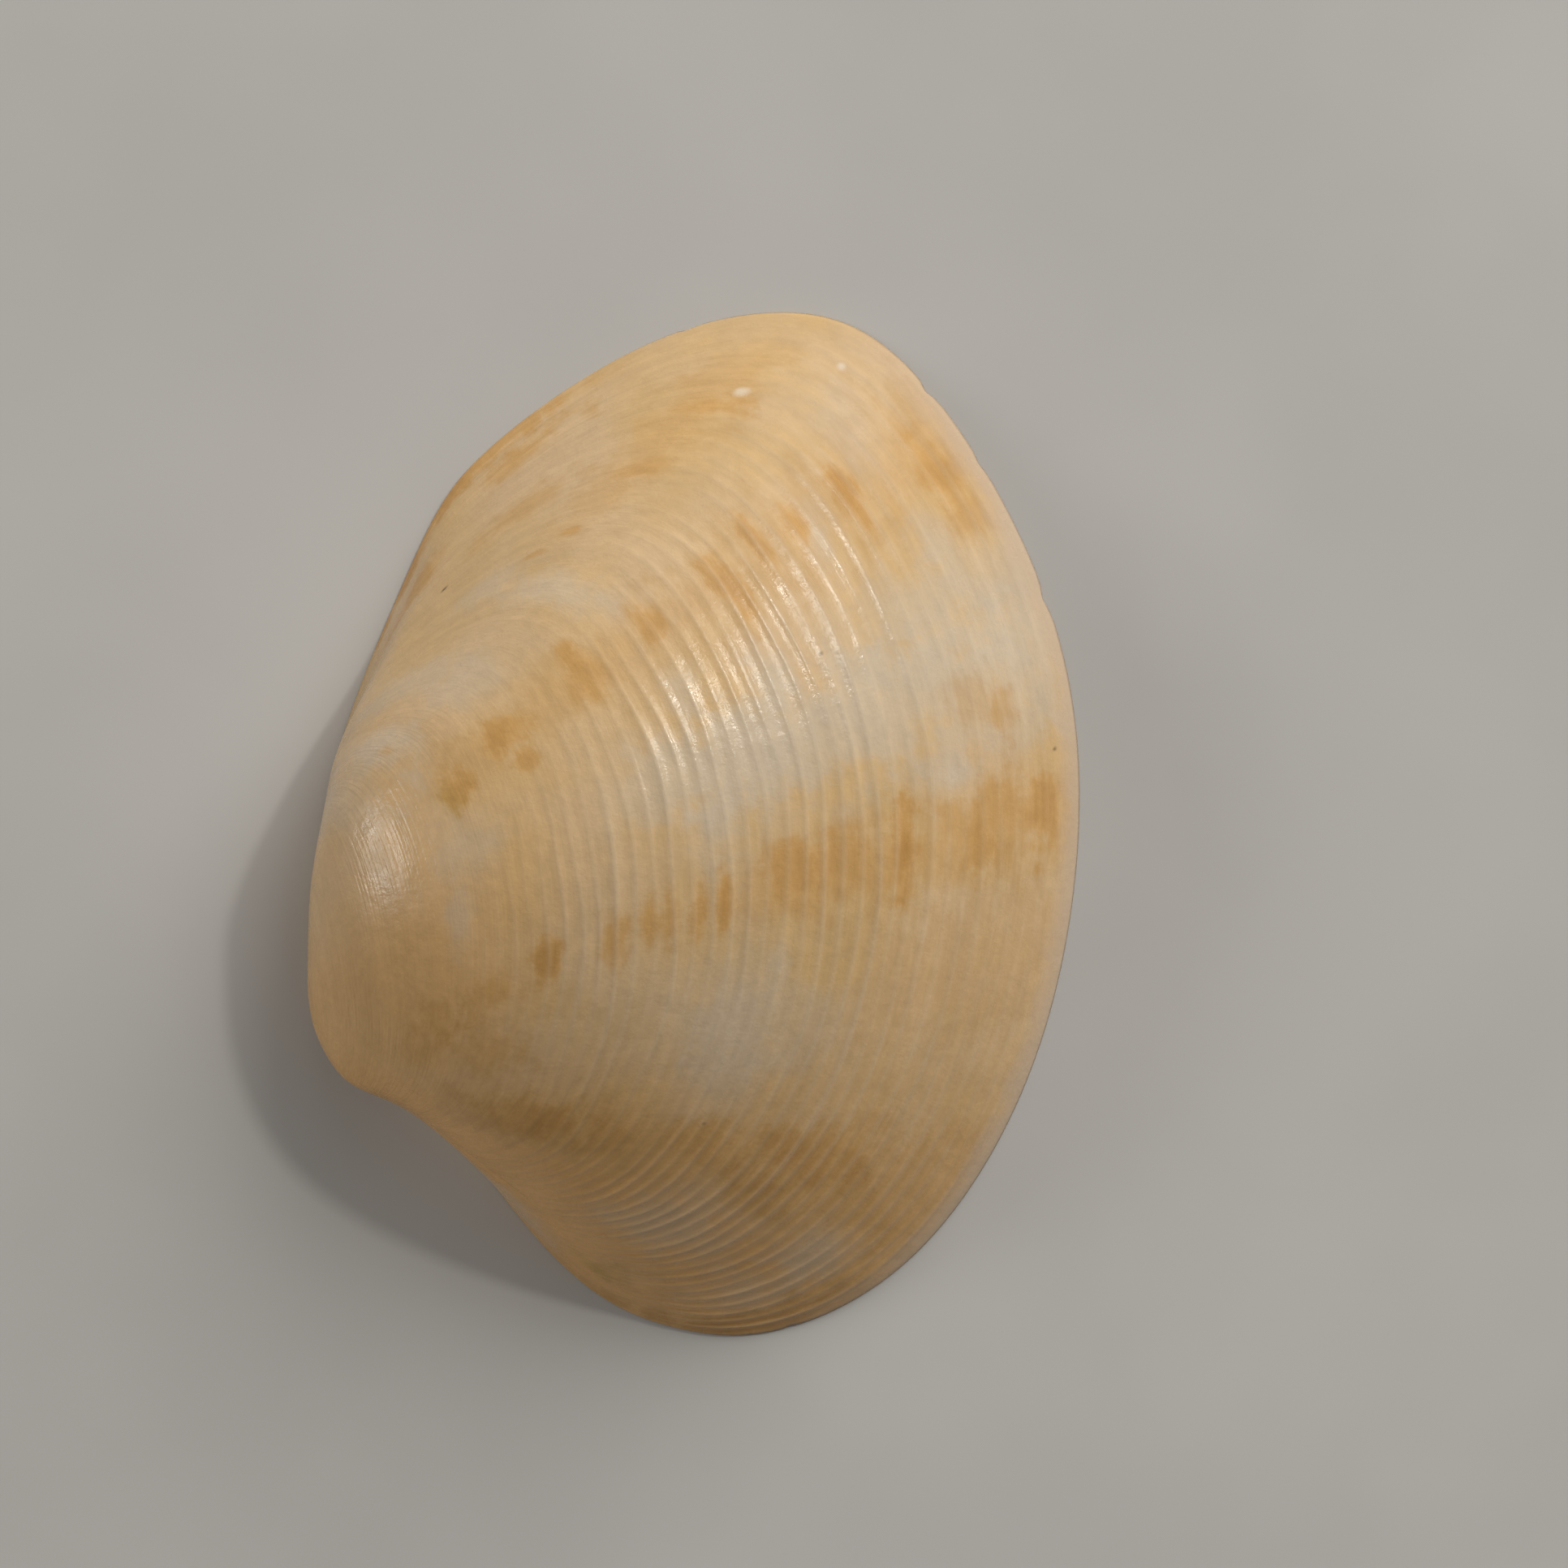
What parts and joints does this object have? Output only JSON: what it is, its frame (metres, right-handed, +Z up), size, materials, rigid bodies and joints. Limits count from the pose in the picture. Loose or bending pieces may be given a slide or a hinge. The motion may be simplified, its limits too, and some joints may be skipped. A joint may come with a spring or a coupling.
{
  "type": "bivalve seashell valve",
  "caption": "Single hollow valve of a ridged clam-like seashell, ovate-triangular with an off-centre umbo, lying domed side up on its rim.",
  "frame": {"origin": "centre of the bounding box's base, in the plane that the rim rests on", "axes": "+Z up out of the domed side, +Y towards the rear end along the greatest length, +X towards the belly edge"},
  "size_m": [0.0285, 0.038, 0.0096],
  "materials": {
    "shell": "satin"
  },
  "bodies": {
    "root": {"valve": "shell"}
  },
  "joints": []
}
